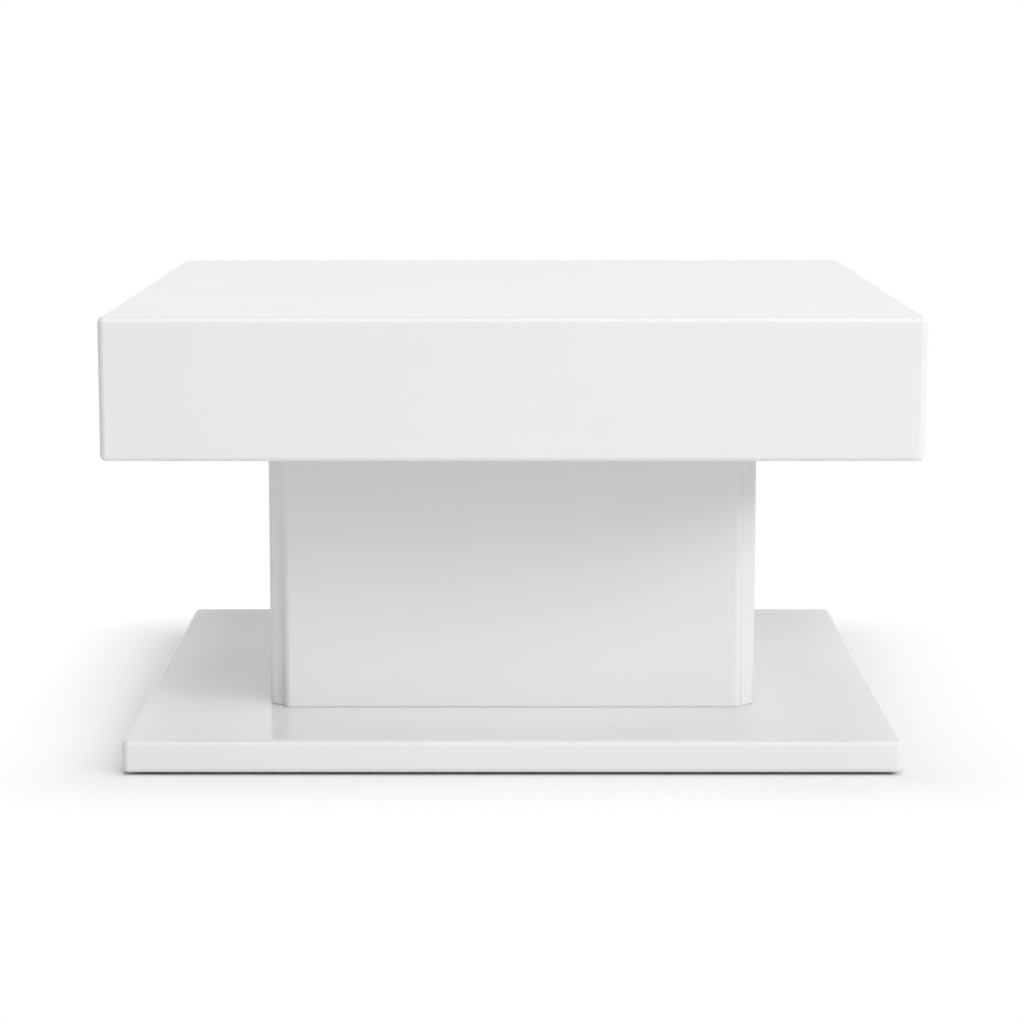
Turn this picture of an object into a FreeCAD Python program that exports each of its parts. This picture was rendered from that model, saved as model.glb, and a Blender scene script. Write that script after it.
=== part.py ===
"""Coffee table: a lacquered box top on a column with coved corners that stands on a plinth board.

Millimetres. The origin is on the floor below the middle of the table, +Z is up, the front
faces -Y and +X is to the right. Every solid takes its sizes and its place from one sheet of sizes.
"""
import FreeCAD
import Part
import Sketcher

import math
import os
import re

# Driving sizes: name of the cell, value in millimetres, what it measures
SIZES = (
    ("table_height", 462, "floor to the top face"),
    ("top_width", 800, "box top, left to right"),
    ("top_depth", 800, "box top, front to back"),
    ("top_thickness", 140, "box top, underside to top face"),
    ("top_edge_radius", 5.5, "rounding of the box top's upper and lower arrises"),
    ("top_corner_radius", 7, "rounding of the box top's upright corners"),
    ("top_panel_thickness", 18, "board that closes the box above"),
    ("underside_thickness", 12, "board that closes the box below"),
    ("apron_thickness", 18, "mitred side boards of the box"),
    ("rib_thickness", 12, "core ribs inside the box"),
    ("rib_spacing_wide", 300, "between the two ribs that run front to back"),
    ("rib_spacing_deep", 260, "between the two ribs that run left to right"),
    ("rib_housing", 5, "depth of the grooves that take the rib ends"),
    ("spline_thickness", 4, "plywood splines in the mitres"),
    ("bearer_width", 45, "timber bearers above the column"),
    ("bearer_height", 40, "timber bearers above the column"),
    ("column_width", 508, "column over its panels, left to right"),
    ("column_depth", 406, "column over its panels, front to back"),
    ("column_panel_thickness", 16, "panels planted on the column frame"),
    ("panel_edge_radius", 8, "rounding of the panels' upright arrises"),
    ("panel_foot_gap", 0.4, "shadow gap between the panels and the plinth board"),
    ("cove_radius", 16, "hollow along each upright corner of the column"),
    ("post_side", 40, "square corner posts"),
    ("rail_height", 45, "rails between the posts"),
    ("rail_thickness", 28, "rails between the posts"),
    ("base_width", 780, "plinth board, left to right"),
    ("base_depth", 720, "plinth board, front to back"),
    ("base_thickness", 33, "plinth board"),
    ("base_edge_radius", 6, "rounding of the plinth board's arrises"),
    ("base_corner_radius", 8, "rounding of the plinth board's upright corners"),
    ("glide_diameter", 40, "floor glides"),
    ("glide_thickness", 5, "floor glides"),
    ("glide_standoff", 3, "how far the glides stand below the plinth board"),
    ("glide_inset", 60, "plinth edge to the middle of a glide"),
    ("glide_chamfer", 1.2, "lower rim of a glide"),
    ("glide_screw_recess", 0.8, "screw head above the floor"),
    ("glide_screw_length", 18, "countersunk screws of the glides"),
    ("dowel_diameter", 8, "beech dowels"),
    ("dowel_length", 30, "beech dowels"),
    ("dowel_chamfer", 1, "ends of the dowels"),
    ("dowel_pitch", 22, "between the two dowels in the end of a rail"),
    ("dowel_cover", 3, "board left above the dowels of the column head"),
    ("bolt_diameter", 8, "connector bolts"),
    ("bolt_head_diameter", 18, "flat heads of the connector bolts"),
    ("bolt_head_height", 3, "flat heads of the connector bolts"),
    ("bolt_chamfer", 0.8, "rim of the heads and ends of the shanks"),
    ("bolt_key_size", 5, "hexagon socket across its flats"),
    ("bolt_key_depth", 2, "hexagon socket"),
    ("bolt_end_gap", 2, "bolt end short of the insert's end"),
    ("base_bolt_spacing", 300, "between the bolts in the front and in the back foot rail"),
    ("top_bolt_spacing", 180, "between the bolts in a side head rail"),
    ("counterbore_depth", 8, "recess for a bolt head below the plinth board"),
    ("washer_diameter", 22, "washers below the bolt heads"),
    ("washer_thickness", 1.6, "washers below the bolt heads"),
    ("insert_diameter", 12, "threaded inserts"),
    ("insert_length", 20, "threaded inserts"),
    ("screw_diameter", 4, "countersunk screws"),
    ("screw_head_diameter", 8, "countersunk screws"),
    ("panel_screw_spacing", 120, "between the two screws in a rail"),
    ("panel_screw_bite", 7, "how far a screw enters a column panel"),
    ("slip_clearance", 0.1, "added to the width of a glued or threaded hole"),
    ("bolt_clearance", 1, "added to the diameter of a hole that a bolt passes"),
    ("end_clearance", 0.5, "hole deeper than the fastener in it"),
    ("trim_allowance", 3, "boards cut oversize, then flushed to the box"),
)

# Levels and insets that follow from the driving sizes
FORMULAS = {
    "base_face": "glide_standoff + base_thickness",
    "column_head": "table_height - top_thickness",
    "column_height": "column_head - base_face",
    "core_floor": "column_head + underside_thickness",
    "core_ceiling": "table_height - top_panel_thickness",
    "core_height": "core_ceiling - core_floor",
    "core_middle": "core_floor + core_height / 2",
    "arris_inset": "(cove_radius ^ 2 + 2 * cove_radius * panel_edge_radius) ^ 0.5",
    "post_reach": "column_panel_thickness + post_side",
    "post_inset": "column_panel_thickness + post_side / 2",
    "rail_inset": "column_panel_thickness + rail_thickness / 2",
    "mitre_inset": "apron_thickness * 0.65",
    "spline_width": "apron_thickness * 1.1",
    "screw_radius": "screw_diameter / 2",
    "screw_head_radius": "screw_head_diameter / 2",
    "base_bolt_seat": "glide_standoff + counterbore_depth - washer_thickness",
    "base_bolt_length": "base_face + insert_length - bolt_end_gap - base_bolt_seat",
    "top_bolt_seat": "column_head - rail_height - washer_thickness",
    "top_bolt_length": "core_floor + insert_length - bolt_end_gap - top_bolt_seat",
    "panel_screw_length": "rail_thickness + panel_screw_bite",
}

# Sides in quarter turns from the front, each with the run along it and the span across the table
SIDES = {
    "front": ("width", "depth"),
    "right": ("depth", "width"),
    "back": ("width", "depth"),
    "left": ("depth", "width"),
}
# Corners in quarter turns from the front left, with the signs of their X and Y
CORNERS = {
    "front_left": ("-", "-"),
    "front_right": ("", "-"),
    "back_right": ("", ""),
    "back_left": ("-", ""),
}
# Ways a turned piece can lie: upright, along a side, or out through a side
LIES = {
    "up": FreeCAD.Rotation(),
    "along": FreeCAD.Rotation(FreeCAD.Vector(0, 1, 0), 90),
    "out": FreeCAD.Rotation(FreeCAD.Vector(1, 0, 0), 90),
}

doc = FreeCAD.newDocument("coffee_table")
sheet = doc.addObject("Spreadsheet::Sheet", "Sizes")
for row, (alias, value, note) in enumerate(SIZES, start=1):
    sheet.set(f"A{row}", note)
    sheet.set(f"B{row}", str(value))
    sheet.setAlias(f"B{row}", alias)
doc.recompute()

finished = {}


def cell(formula):
    """Writes a formula of size names as an expression on the sheet's cells."""
    def swap(match):
        word = match.group()
        return f"({cell(FORMULAS[word])})" if word in FORMULAS else f"Sizes.{word}"
    return re.sub(r"[a-z][a-z_]+", swap, formula)


def bind(item, **formulas):
    """Ties properties of an object to the sheet."""
    for name, formula in formulas.items():
        item.setExpression(name, cell(formula))


def quarter_turns(table):
    """Pairs each side or corner with its turn from the first one, in degrees."""
    return zip(range(0, 360, 90), table.items())


def turned(x, y, turn):
    """Takes a place seen from the front to the side that lies a number of degrees round."""
    return {0: (x, y), 90: (f"-({y})", x), 180: (f"-({x})", f"-({y})"), 270: (y, f"-({x})")}[turn]


def place(item, x="0", y="0", z="0", turn=0, lie="up"):
    """Gives an object its own placement: turned about Z, then moved to X, Y and Z."""
    spin = FreeCAD.Rotation(FreeCAD.Vector(0, 0, 1), turn)
    item.Placement = FreeCAD.Placement(FreeCAD.Vector(), spin.multiply(LIES[lie]))
    for axis, formula in zip("xyz", (x, y, z)):
        item.setExpression(f"Placement.Base.{axis}", cell(formula))
    return item


def finish(item, label):
    """Names a sub-part after its file and sets it aside for export."""
    item.Label = label
    finished[label] = item
    return item


def origin_feature(body, role):
    """Finds a plane or an axis of a body's own origin."""
    return next(feature for feature in body.Origin.OriginFeatures if feature.Role == role)


def sketch_on(body, role):
    """Starts a sketch on one of the body's origin planes."""
    sketch = body.newObject("Sketcher::SketchObject", "outline")
    sketch.AttachmentSupport = (origin_feature(body, role), [""])
    sketch.MapMode = "FlatFace"
    return sketch


def outline(body, points, role="XY_Plane"):
    """Draws a closed outline whose every corner is dimensioned from the origin."""
    sketch = sketch_on(body, role)
    count = len(points)
    ring = [FreeCAD.Vector(math.cos(step), math.sin(step), 0)
            for step in (2 * math.pi * corner / count for corner in range(count))]
    for corner in range(count):
        sketch.addGeometry(Part.LineSegment(ring[corner], ring[(corner + 1) % count]), False)
    for corner in range(count):
        sketch.addConstraint(Sketcher.Constraint("Coincident", corner, 2, (corner + 1) % count, 1))
    for corner, point in enumerate(points):
        for kind, formula in zip(("DistanceX", "DistanceY"), point):
            number = sketch.addConstraint(Sketcher.Constraint(kind, -1, 1, corner, 1, 1.0))
            sketch.setExpression(f"Constraints[{number}]", cell(formula))
    return sketch


def rectangle(width, depth):
    """Corners of a rectangle about the origin."""
    x, y = f"({width}) / 2", f"({depth}) / 2"
    return [(f"-({x})", f"-({y})"), (x, f"-({y})"), (x, y), (f"-({x})", y)]


def circles(body, centres, diameter):
    """Draws circles whose centres are dimensioned from the origin."""
    sketch = sketch_on(body, "XY_Plane")
    for number, centre in enumerate(centres):
        sketch.addGeometry(Part.Circle(FreeCAD.Vector(), FreeCAD.Vector(0, 0, 1), 1 + number), False)
        for kind, formula in zip(("DistanceX", "DistanceY"), centre):
            mark = sketch.addConstraint(Sketcher.Constraint(kind, -1, 1, number, 3, 1.0))
            sketch.setExpression(f"Constraints[{mark}]", cell(formula))
        mark = sketch.addConstraint(Sketcher.Constraint("Diameter", number, 1.0))
        sketch.setExpression(f"Constraints[{mark}]", cell(diameter))
    doc.recompute()
    return sketch


def bore(body, centres, diameter):
    """Cuts round holes right through a body."""
    cut = body.newObject("PartDesign::Pocket", "bores")
    cut.Profile = circles(body, centres, diameter)
    cut.Type = "ThroughAll"
    cut.Midplane = True


def prism(label, points, height):
    """Makes a board or a post: an outline padded upwards."""
    body = doc.addObject("PartDesign::Body", label)
    pad = body.newObject("PartDesign::Pad", "thickness")
    pad.Profile = outline(body, points)
    bind(pad, Length=height)
    return body


def lathe(label, points):
    """Makes a turned piece: half a section spun about Z."""
    body = doc.addObject("PartDesign::Body", label)
    spin = body.newObject("PartDesign::Revolution", "turning")
    spin.Profile = outline(body, points, "XZ_Plane")
    spin.ReferenceAxis = (origin_feature(body, "Z_Axis"), [""])
    spin.Angle = 360
    return body


def upright(edge, box):
    """Picks the edges that stand upright."""
    return edge.BoundBox.ZLength > 0.99 * box.ZLength


def rim(edge, box):
    """Picks the edges round the top and the bottom face."""
    level = edge.BoundBox.ZLength < 1e-6
    return level and min(abs(edge.BoundBox.ZMin - box.ZMin), abs(edge.BoundBox.ZMax - box.ZMax)) < 1e-6


def round_edges(body, pick, radius):
    """Rounds the picked edges of the body's last feature."""
    doc.recompute()
    last = body.Tip
    box = last.Shape.BoundBox
    names = [f"Edge{number}" for number, edge in enumerate(last.Shape.Edges, start=1) if pick(edge, box)]
    rounding = body.newObject("PartDesign::Fillet", "rounding")
    rounding.Base = (last, names)
    bind(rounding, Radius=radius)


def copies(label, master, places):
    """Sets one master piece at several places, as a group of separate solids."""
    group = doc.addObject("Part::Compound", label)
    links = []
    for spot in places:
        link = doc.addObject("App::Link", f"{label}_copy")
        link.LinkedObject = master
        links.append(place(link, **spot))
    group.Links = links
    return group


def gather(label, items):
    """Puts several tools into one."""
    group = doc.addObject("Part::Compound", label)
    group.Links = items
    return group


def combine(kind, label, base, tool):
    """Cuts a tool out of a base, or keeps what the two share."""
    result = doc.addObject(f"Part::{kind}", label)
    result.Base = base
    result.Tool = tool
    return result


# Beech dowels and the holes they share: chamfered pins, and drills a little wider and longer
dowel_radius = "dowel_diameter / 2"
dowel_half = "dowel_length / 2"
dowel = lathe("dowel_pin", [
    ("0", f"-({dowel_half})"),
    (f"{dowel_radius} - dowel_chamfer", f"-({dowel_half})"),
    (dowel_radius, f"-({dowel_half} - dowel_chamfer)"),
    (dowel_radius, f"{dowel_half} - dowel_chamfer"),
    (f"{dowel_radius} - dowel_chamfer", dowel_half),
    ("0", dowel_half),
])
dowel_drill_radius = f"{dowel_radius} + slip_clearance / 2"
dowel_drill_half = f"{dowel_half} + end_clearance"
dowel_drill = lathe("dowel_drill", [
    ("0", f"-({dowel_drill_half})"),
    (dowel_drill_radius, f"-({dowel_drill_half})"),
    (dowel_drill_radius, dowel_drill_half),
    ("0", dowel_drill_half),
])


def countersunk(label, length, start, play):
    """Section of a countersunk screw from its head face, or of the hole that takes it."""
    head = f"screw_head_radius + {play}"
    shank = f"screw_radius + {play}"
    return lathe(label, [
        ("0", start),
        (head, start),
        (head, "end_clearance * 0.4"),
        (shank, f"end_clearance * 0.4 + {head} - ({shank})"),
        (shank, f"{length} - screw_diameter"),
        ("0", length),
    ])


def connector_bolt(label, length):
    """Flat-headed connector bolt with a hexagon socket, from the face that bears on the washer."""
    shank = "bolt_diameter / 2"
    head = "bolt_head_diameter / 2"
    blank = lathe(f"{label}_blank", [
        ("0", "-bolt_head_height"),
        (f"{head} - bolt_chamfer", "-bolt_head_height"),
        (head, "-(bolt_head_height - bolt_chamfer)"),
        (head, "0"),
        (shank, "0"),
        (shank, f"{length} - bolt_chamfer"),
        (f"{shank} - bolt_chamfer", length),
        ("0", length),
    ])
    key = doc.addObject("Part::Prism", f"{label}_key")
    key.Polygon = 6
    bind(key, Circumradius=f"bolt_key_size / {math.sqrt(3)}", Height="bolt_key_depth")
    place(key, z="-bolt_head_height")
    return combine("Cut", label, blank, key)


def ring(label, inner, outer, height):
    """Washer or sleeve standing on the XY plane."""
    return lathe(label, [(inner, "0"), (outer, "0"), (outer, height), (inner, height)])


def drill(label, diameter, height):
    """Plain drill standing on the XY plane."""
    radius = f"({diameter}) / 2"
    return lathe(label, [("0", "0"), (radius, "0"), (radius, height), ("0", height)])


# Places of the fasteners, seen from the front and turned to each side
rail_dowel_places = []
panel_screw_places = []
base_bolt_places = []
top_bolt_places = []
for turn, (side, (run, span)) in quarter_turns(SIDES):
    rail_y = f"-(column_{span} / 2 - rail_inset)"
    rail_end = f"column_{run} / 2 - post_reach - dowel_length / 6"
    screw_y = f"-(column_{span} / 2 - column_panel_thickness - rail_thickness)"
    for level in ("base_face + rail_height / 2", "column_head - rail_height / 2"):
        for hand in ("", "-"):
            for step in ("+", "-"):
                x, y = turned(f"{hand}({rail_end})", rail_y, turn)
                z = f"{level} {step} dowel_pitch / 2"
                rail_dowel_places.append({"x": x, "y": y, "z": z, "turn": turn, "lie": "along"})
            x, y = turned(f"{hand}(panel_screw_spacing / 2)", screw_y, turn)
            panel_screw_places.append({"x": x, "y": y, "z": level, "turn": turn, "lie": "out"})
    along = ["base_bolt_spacing / 2", "-(base_bolt_spacing / 2)"] if run == "width" else ["0"]
    for offset in along:
        x, y = turned(offset, rail_y, turn)
        base_bolt_places.append({"x": x, "y": y})
    if run == "depth":
        for hand in ("", "-"):
            x, y = turned(f"{hand}(top_bolt_spacing / 2)", rail_y, turn)
            top_bolt_places.append({"x": x, "y": y})


def at_level(places, z):
    """Sets plan places at one level."""
    return [dict(spot, z=z) for spot in places]


post_places = [
    {"x": f"{sign_x}(column_width / 2 - post_inset)", "y": f"{sign_y}(column_depth / 2 - post_inset)"}
    for sign_x, sign_y in CORNERS.values()
]
head_dowel_level = "column_head + underside_thickness - dowel_cover - dowel_length / 2"

# Fasteners as groups of separate solids, and the holes bored for them
finish(copies("rail_dowels", dowel, rail_dowel_places), "rail_dowels")
finish(copies("head_dowels", dowel, at_level(post_places, head_dowel_level)), "head_dowels")
finish(copies("foot_dowels", dowel, at_level(post_places, "base_face")), "foot_dowels")
rail_dowel_holes = copies("rail_dowel_holes", dowel_drill, rail_dowel_places)
head_dowel_holes = copies("head_dowel_holes", dowel_drill, at_level(post_places, head_dowel_level))
foot_dowel_holes = copies("foot_dowel_holes", dowel_drill, at_level(post_places, "base_face"))

panel_screw = countersunk("panel_screw", "panel_screw_length", "0", "0")
panel_screw_drill = countersunk(
    "panel_screw_drill", "panel_screw_length + end_clearance", "-trim_allowance", "slip_clearance / 2")
finish(copies("panel_screws", panel_screw, panel_screw_places), "panel_screws")
panel_screw_holes = copies("panel_screw_holes", panel_screw_drill, panel_screw_places)

bore_radius = "(bolt_diameter + slip_clearance) / 2"
pass_radius = "(bolt_diameter + bolt_clearance) / 2"
insert = ring("threaded_insert", bore_radius, "insert_diameter / 2", "insert_length")
washer = ring("plain_washer", pass_radius, "washer_diameter / 2", "washer_thickness")
insert_drill = drill("insert_drill", "insert_diameter + slip_clearance", "insert_length + end_clearance")
base_bolt = connector_bolt("base_bolt", "base_bolt_length")
top_bolt = connector_bolt("top_bolt", "top_bolt_length")
bolt_way = "rail_height + underside_thickness"
top_bolt_drill = drill("top_bolt_drill", "bolt_diameter + bolt_clearance", bolt_way)

finish(copies("base_bolts", base_bolt, at_level(base_bolt_places, "base_bolt_seat")), "base_bolts")
finish(copies("base_washers", washer, at_level(base_bolt_places, "base_bolt_seat")), "base_washers")
finish(copies("base_inserts", insert, at_level(base_bolt_places, "base_face")), "base_inserts")
base_insert_holes = copies("base_insert_holes", insert_drill, at_level(base_bolt_places, "base_face"))
finish(copies("top_bolts", top_bolt, at_level(top_bolt_places, "top_bolt_seat")), "top_bolts")
finish(copies("top_washers", washer, at_level(top_bolt_places, "top_bolt_seat")), "top_washers")
finish(copies("top_inserts", insert, at_level(top_bolt_places, "core_floor")), "top_inserts")
top_insert_holes = copies("top_insert_holes", insert_drill, at_level(top_bolt_places, "core_floor"))
bolt_way_start = at_level(top_bolt_places, "column_head - rail_height")
top_bolt_holes = copies("top_bolt_holes", top_bolt_drill, bolt_way_start)

# Plinth board: one thick board with rounded corners and arrises, counterbored from below for the bolts
base = prism("base_board_blank", rectangle("base_width", "base_depth"), "base_thickness")
round_edges(base, upright, "base_corner_radius")
round_edges(base, rim, "base_edge_radius")
bolt_centres = [(spot["x"], spot["y"]) for spot in base_bolt_places]
bolt_points = circles(base, bolt_centres, "bolt_diameter + bolt_clearance")
bolt_holes = base.newObject("PartDesign::Hole", "bolt_holes")
bolt_holes.Profile = bolt_points
bolt_holes.Reversed = True
bolt_holes.DepthType = "ThroughAll"
bolt_holes.HoleCutType = "Counterbore"
bolt_holes.HoleCutCustomValues = True
bind(
    bolt_holes,
    Diameter="bolt_diameter + bolt_clearance",
    HoleCutDiameter="washer_diameter + 2 * bolt_clearance",
    HoleCutDepth="counterbore_depth",
)
place(base, z="glide_standoff")

# Floor glides: four plastic discs let into the plinth board, each held by a sunk screw
glide_places = [
    {"x": f"{sign_x}(base_width / 2 - glide_inset)", "y": f"{sign_y}(base_depth / 2 - glide_inset)"}
    for sign_x, sign_y in CORNERS.values()
]
glide_rim = "glide_diameter / 2"
sunk_head = "screw_head_radius + slip_clearance"
sunk_shank = "screw_radius + slip_clearance"
sunk_start = "glide_screw_recess + end_clearance * 0.4"
for name, spot in zip(CORNERS, glide_places):
    glide = lathe(f"glide_{name}", [
        (sunk_head, "0"),
        (f"{glide_rim} - glide_chamfer", "0"),
        (glide_rim, "glide_chamfer"),
        (glide_rim, "glide_thickness"),
        (sunk_shank, "glide_thickness"),
        (sunk_shank, f"{sunk_start} + {sunk_head} - ({sunk_shank})"),
        (sunk_head, sunk_start),
    ])
    finish(place(glide, **spot), f"glide_{name}")
glide_screw = countersunk("glide_screw", "glide_screw_length", "0", "0")
finish(copies("glide_screws", glide_screw, at_level(glide_places, "glide_screw_recess")), "glide_screws")
seat_radius = f"{glide_rim} + slip_clearance"
pilot_radius = "screw_radius + slip_clearance / 2"
pilot_end = "glide_screw_recess + glide_screw_length + end_clearance"
glide_seat = lathe("glide_seat", [
    ("0", "0"),
    (seat_radius, "0"),
    (seat_radius, "glide_thickness"),
    (pilot_radius, "glide_thickness"),
    (pilot_radius, pilot_end),
    ("0", pilot_end),
])
base_tools = gather("base_tools", [copies("glide_seats", glide_seat, glide_places), foot_dowel_holes])
finish(combine("Cut", "base_board", base, base_tools), "base_board")

# Corner posts: square timber behind the panels' corners, bored for the dowels of the rails and both ends
for turn, (name, (sign_x, sign_y)) in quarter_turns(CORNERS):
    square = [("0", "0"), ("post_side", "0"), ("post_side", "post_side"), ("0", "post_side")]
    post = prism(f"post_blank_{name}", square, "column_height")
    place(post, f"{sign_x}(column_width / 2 - column_panel_thickness)",
          f"{sign_y}(column_depth / 2 - column_panel_thickness)", "base_face", turn)
    holes = gather(f"post_holes_{name}", [rail_dowel_holes, head_dowel_holes, foot_dowel_holes])
    finish(combine("Cut", f"corner_post_{name}", post, holes), f"corner_post_{name}")

# Arris cutters: what a rounding-over leaves between a panel's face, its arris and the cove beside it
arris_cutters = []
for name, hand in (("right", "-"), ("left", "")):
    cutter = prism(f"arris_cutter_{name}", [
        (f"{hand}(arris_inset / 2)", "-trim_allowance"),
        (f"{hand}(arris_inset)", "-trim_allowance"),
        (f"{hand}(arris_inset)", "panel_edge_radius"),
        (f"{hand}(arris_inset / 2)", "panel_edge_radius / 2"),
    ], "column_height + 2 * trim_allowance")
    bore(cutter, [(f"{hand}(arris_inset)", "panel_edge_radius")], "panel_edge_radius * 2")
    spots = []
    for turn, (side, (run, span)) in quarter_turns(SIDES):
        end = f"column_{run} / 2" if name == "right" else f"-(column_{run} / 2)"
        x, y = turned(end, f"-(column_{span} / 2)", turn)
        spots.append({"x": x, "y": y, "z": "base_face - trim_allowance", "turn": turn})
    arris_cutters.append(copies(f"arris_cutters_{name}", cutter, spots))

# Rails and panels of the column: rails dowelled between the posts, panels planted on posts and rails.
# The panels' mitred ends are hollowed in one cove about each outer corner, and a gap is left at the foot.
for turn, (side, (run, span)) in quarter_turns(SIDES):
    rail_outline = rectangle(f"column_{run} - 2 * post_reach", "rail_thickness")
    x, y = turned("0", f"-(column_{span} / 2 - rail_inset)", turn)
    foot_rail = prism(f"foot_rail_blank_{side}", rail_outline, "rail_height")
    place(foot_rail, x, y, "base_face", turn)
    foot_holes = gather(f"foot_rail_holes_{side}", [rail_dowel_holes, panel_screw_holes, base_insert_holes])
    finish(combine("Cut", f"foot_rail_{side}", foot_rail, foot_holes), f"foot_rail_{side}")
    head_rail = prism(f"head_rail_blank_{side}", rail_outline, "rail_height")
    place(head_rail, x, y, "column_head - rail_height", turn)
    head_holes = gather(f"head_rail_holes_{side}", [rail_dowel_holes, panel_screw_holes, top_bolt_holes])
    finish(combine("Cut", f"head_rail_{side}", head_rail, head_holes), f"head_rail_{side}")

    outer_x = f"column_{run} / 2"
    inner_x = f"{outer_x} - column_panel_thickness"
    outer_y = "-(column_panel_thickness / 2)"
    inner_y = "column_panel_thickness / 2"
    panel = prism(f"column_panel_blank_{side}", [
        (f"-({outer_x})", outer_y),
        (outer_x, outer_y),
        (inner_x, inner_y),
        (f"-({inner_x})", inner_y),
    ], "column_height - panel_foot_gap")
    bore(panel, [(f"-({outer_x})", outer_y), (outer_x, outer_y)], "cove_radius * 2")
    x, y = turned("0", f"-(column_{span} / 2 - column_panel_thickness / 2)", turn)
    place(panel, x, y, "base_face + panel_foot_gap", turn)
    panel_tools = gather(f"panel_tools_{side}", [panel_screw_holes] + arris_cutters)
    finish(combine("Cut", f"column_panel_{side}", panel, panel_tools), f"column_panel_{side}")

# Form of the box top: its boards are flushed to this one rounded block after they are glued up
form = prism("top_box_form", rectangle("top_width", "top_depth"), "top_thickness")
round_edges(form, upright, "top_corner_radius")
round_edges(form, rim, "top_edge_radius")
place(form, z="column_head")
board_outline = rectangle("top_width + 2 * trim_allowance", "top_depth + 2 * trim_allowance")

# Underside panel: closes the box below, bored for the bolts and dowels of the column head
underside = prism("underside_blank", board_outline, "underside_thickness + trim_allowance")
place(underside, z="column_head - trim_allowance")
underside = combine("Common", "underside_flushed", form, underside)
underside_holes = gather("underside_holes", [top_bolt_holes, head_dowel_holes])
finish(combine("Cut", "underside_panel", underside, underside_holes), "underside_panel")

# Core ribs: two each way, halved over one another and housed in the aprons at both ends
rib_slots = []
lap_places = [
    {"x": f"{sign_x}(rib_spacing_wide / 2)", "y": f"{sign_y}(rib_spacing_deep / 2)"}
    for sign_x, sign_y in CORNERS.values()
]
lap_width = "rib_thickness + slip_clearance"
lap = prism("lap_notch", rectangle(lap_width, lap_width), "core_height / 2 + trim_allowance")
upper_laps = copies("upper_laps", lap, at_level(lap_places, "core_middle"))
lower_laps = copies("lower_laps", lap, at_level(lap_places, "core_floor - trim_allowance"))
for turn, (side, (run, span)) in quarter_turns(SIDES):
    spacing = "rib_spacing_deep" if run == "width" else "rib_spacing_wide"
    laps = upper_laps if run == "width" else lower_laps
    rib_length = f"top_{run} - 2 * apron_thickness + 2 * rib_housing"
    x, y = turned("0", f"-({spacing} / 2)", turn)
    rib = prism(f"core_rib_blank_{side}", rectangle(rib_length, "rib_thickness"), "core_height")
    place(rib, x, y, "core_floor", turn)
    finish(combine("Cut", f"core_rib_{side}", rib, laps), f"core_rib_{side}")
    slot_outline = rectangle(f"{rib_length} + slip_clearance", lap_width)
    slot = prism(f"rib_slot_{side}", slot_outline, "core_height + 2 * trim_allowance")
    rib_slots.append(place(slot, x, y, "core_floor - trim_allowance", turn))

# Mitre splines: plywood tongues that cross the mitres of the aprons at the four corners
spline_places = [
    {
        "x": f"{sign_x}(top_width / 2 - mitre_inset)",
        "y": f"{sign_y}(top_depth / 2 - mitre_inset)",
        "turn": -45 if sign_x == sign_y else 45,
    }
    for sign_x, sign_y in CORNERS.values()
]
spline = prism("mitre_spline", rectangle("spline_width", "spline_thickness"), "core_height")
finish(copies("mitre_splines", spline, at_level(spline_places, "core_floor")), "mitre_splines")
spline_slot = prism(
    "spline_slot",
    rectangle("spline_width + slip_clearance", "spline_thickness + slip_clearance"),
    "core_height + 2 * trim_allowance",
)
spline_slots = copies("spline_slots", spline_slot, at_level(spline_places, "core_floor - trim_allowance"))

# Aprons: mitred boards round the box, grooved for the ribs and the splines, flushed to the rounded form
apron_tools = gather("apron_tools", rib_slots + [spline_slots])
for turn, (side, (run, span)) in quarter_turns(SIDES):
    outer_x = f"top_{run} / 2 + trim_allowance"
    inner_x = f"top_{run} / 2 - apron_thickness"
    outer_y = "apron_thickness / 2 + trim_allowance"
    inner_y = "apron_thickness / 2"
    apron = prism(f"apron_blank_{side}", [
        (f"-({outer_x})", f"-({outer_y})"),
        (outer_x, f"-({outer_y})"),
        (inner_x, inner_y),
        (f"-({inner_x})", inner_y),
    ], "core_height")
    x, y = turned("0", f"-(top_{span} / 2 - apron_thickness / 2)", turn)
    place(apron, x, y, "core_floor", turn)
    apron = combine("Common", f"apron_flushed_{side}", form, apron)
    finish(combine("Cut", f"apron_{side}", apron, apron_tools), f"apron_{side}")

# Bolt bearers: timber glued to the underside panel above the side rails, holding the threaded inserts
bearer_outline = rectangle("bearer_width", "rib_spacing_deep - rib_thickness - slip_clearance")
for name, hand in (("left", "-"), ("right", "")):
    bearer = prism(f"bolt_bearer_blank_{name}", bearer_outline, "bearer_height")
    place(bearer, f"{hand}(column_width / 2 - rail_inset)", "0", "core_floor")
    finish(combine("Cut", f"bolt_bearer_{name}", bearer, top_insert_holes), f"bolt_bearer_{name}")

# Top panel: the board that is seen and used, its upper arris rounded with the rest of the box
top = prism("top_panel_blank", board_outline, "top_panel_thickness + trim_allowance")
place(top, z="core_ceiling")
finish(combine("Common", "top_panel", form, top), "top_panel")

# Every object must have solved, and every sub-part must be a valid solid or group of solids
doc.recompute()
for item in doc.Objects:
    if "Invalid" in item.State or "Error" in item.State:
        raise RuntimeError(f"{item.Label} did not solve: {item.State}")
os.makedirs("parts", exist_ok=True)
for label, item in finished.items():
    shape = item.Shape
    if shape.isNull() or not shape.isValid() or not shape.Solids:
        raise RuntimeError(f"{label} has no valid solid")
    shape.exportStep(f"parts/{label}.step")
    box = shape.BoundBox
    print(f"{label}: {len(shape.Solids)} solid(s), {shape.Volume / 1000:.1f} cm3, "
          f"{box.XLength:.1f} x {box.YLength:.1f} x {box.ZLength:.1f}, from z {box.ZMin:.1f}")
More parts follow.
